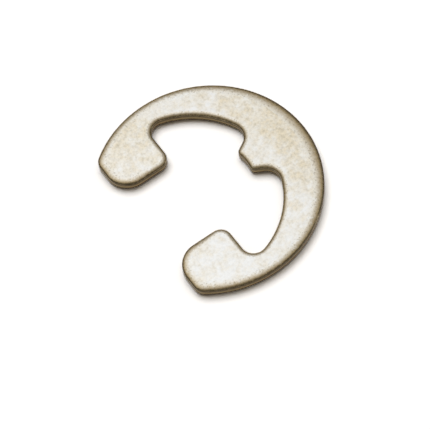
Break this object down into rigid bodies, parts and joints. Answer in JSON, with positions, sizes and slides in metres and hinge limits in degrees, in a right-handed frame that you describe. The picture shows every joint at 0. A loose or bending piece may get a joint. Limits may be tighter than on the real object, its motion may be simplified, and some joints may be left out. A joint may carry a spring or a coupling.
{
  "type": "e clip",
  "caption": "Flat E-shaped retaining ring: an open rim with two rounded feet, relief pockets and a prong facing the mouth.",
  "frame": {"origin": "on the shaft's axis, at the centre of the rim's circle, at the lower face", "axes": "+Z along the shaft's axis towards the face with the rolled edge, +Y from the mouth towards the prong, +X towards the right foot"},
  "size_m": [0.0134, 0.011, 0.0006],
  "materials": {
    "spring_steel": "stamped, tumbled and plated sheet; pale satin faces with straw and tan mottling, darker brown rolled edges and cut walls"
  },
  "bodies": {
    "root": {"e_clip": "spring_steel"}
  },
  "joints": []
}
